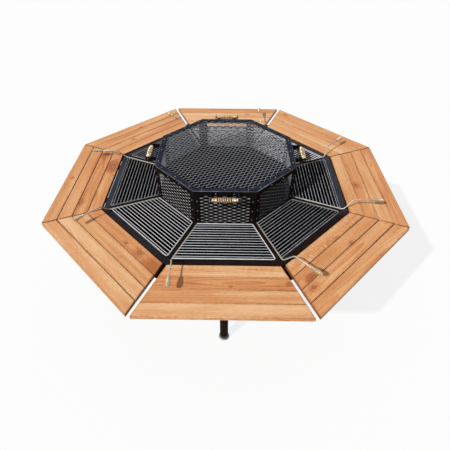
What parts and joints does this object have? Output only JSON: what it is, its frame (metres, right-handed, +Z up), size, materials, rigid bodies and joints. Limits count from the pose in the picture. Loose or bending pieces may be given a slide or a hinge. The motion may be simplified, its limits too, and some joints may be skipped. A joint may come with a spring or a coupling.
{
  "type": "grill table with fire pit",
  "caption": "Octagonal wooden grill table round a steel fire pan, with lift-off wire grates that have long handles and a lift-off mesh spark cage in the middle.",
  "frame": {"origin": "on the floor under the table's centre", "axes": "+Z up, -Y towards the viewer of the picture, +X to their right"},
  "size_m": [1.9, 1.9, 0.9353],
  "materials": {
    "wood": "oiled, satin",
    "black_steel": "black powder coat, satin",
    "pan_steel": "heat-proof black paint, matt",
    "plated_wire": "plated wire, satin",
    "brass_wire": "brass-plated spring wire",
    "rubber": "matt moulded rubber",
    "glide_steel": "zinc-plated"
  },
  "bodies": {
    "table": {"deck_front": "wood", "deck_front_right": "wood", "deck_right": "wood", "deck_back_right": "wood", "deck_back": "wood", "deck_back_left": "wood", "deck_left": "wood", "deck_front_left": "wood", "rim": "black_steel", "inner_ring": "black_steel", "spokes": "black_steel", "corner_brackets": "black_steel", "deck_arms": "black_steel", "leg_plates": "black_steel", "pan_floor": "pan_steel", "pan_walls": "pan_steel", "leg_front": "black_steel", "leg_right": "black_steel", "leg_back": "black_steel", "leg_left": "black_steel", "foot_boots": "rubber", "foot_glides": "glide_steel"},
    "spark_cage": {"cage_top_frame": "black_steel", "cage_posts": "black_steel", "cage_base_rail": "black_steel", "cage_side_panels": "black_steel", "cage_top_mesh": "black_steel", "cage_handle_brackets": "black_steel", "cage_handle_pins": "black_steel", "cage_handle_coils": "brass_wire"},
    "grate_front": {"grate_front_rack": "plated_wire", "grate_front_handle": "plated_wire", "grate_front_grip": "brass_wire"},
    "grate_front_right": {"grate_front_right_rack": "plated_wire", "grate_front_right_handle": "plated_wire", "grate_front_right_grip": "brass_wire"},
    "grate_right": {"grate_right_rack": "plated_wire", "grate_right_handle": "plated_wire", "grate_right_grip": "brass_wire"},
    "grate_back_right": {"grate_back_right_rack": "plated_wire", "grate_back_right_handle": "plated_wire", "grate_back_right_grip": "brass_wire"},
    "grate_back": {"grate_back_rack": "plated_wire", "grate_back_handle": "plated_wire", "grate_back_grip": "brass_wire"},
    "grate_back_left": {"grate_back_left_rack": "plated_wire", "grate_back_left_handle": "plated_wire", "grate_back_left_grip": "brass_wire"},
    "grate_left": {"grate_left_rack": "plated_wire", "grate_left_handle": "plated_wire", "grate_left_grip": "brass_wire"},
    "grate_front_left": {"grate_front_left_rack": "plated_wire", "grate_front_left_handle": "plated_wire", "grate_front_left_grip": "brass_wire"}
  },
  "joints": [
    {"name": "cage_lift", "type": "slide", "parent": "table", "child": "spark_cage", "axis": [0, 0, 1], "range_m": [0, 0.25]},
    {"name": "grate_front_lift", "type": "slide", "parent": "table", "child": "grate_front", "axis": [0, 0, 1], "range_m": [0, 0.12]},
    {"name": "grate_front_right_lift", "type": "slide", "parent": "table", "child": "grate_front_right", "axis": [0, 0, 1], "range_m": [0, 0.12]},
    {"name": "grate_right_lift", "type": "slide", "parent": "table", "child": "grate_right", "axis": [0, 0, 1], "range_m": [0, 0.12]},
    {"name": "grate_back_right_lift", "type": "slide", "parent": "table", "child": "grate_back_right", "axis": [0, 0, 1], "range_m": [0, 0.12]},
    {"name": "grate_back_lift", "type": "slide", "parent": "table", "child": "grate_back", "axis": [0, 0, 1], "range_m": [0, 0.12]},
    {"name": "grate_back_left_lift", "type": "slide", "parent": "table", "child": "grate_back_left", "axis": [0, 0, 1], "range_m": [0, 0.12]},
    {"name": "grate_left_lift", "type": "slide", "parent": "table", "child": "grate_left", "axis": [0, 0, 1], "range_m": [0, 0.12]},
    {"name": "grate_front_left_lift", "type": "slide", "parent": "table", "child": "grate_front_left", "axis": [0, 0, 1], "range_m": [0, 0.12]}
  ]
}
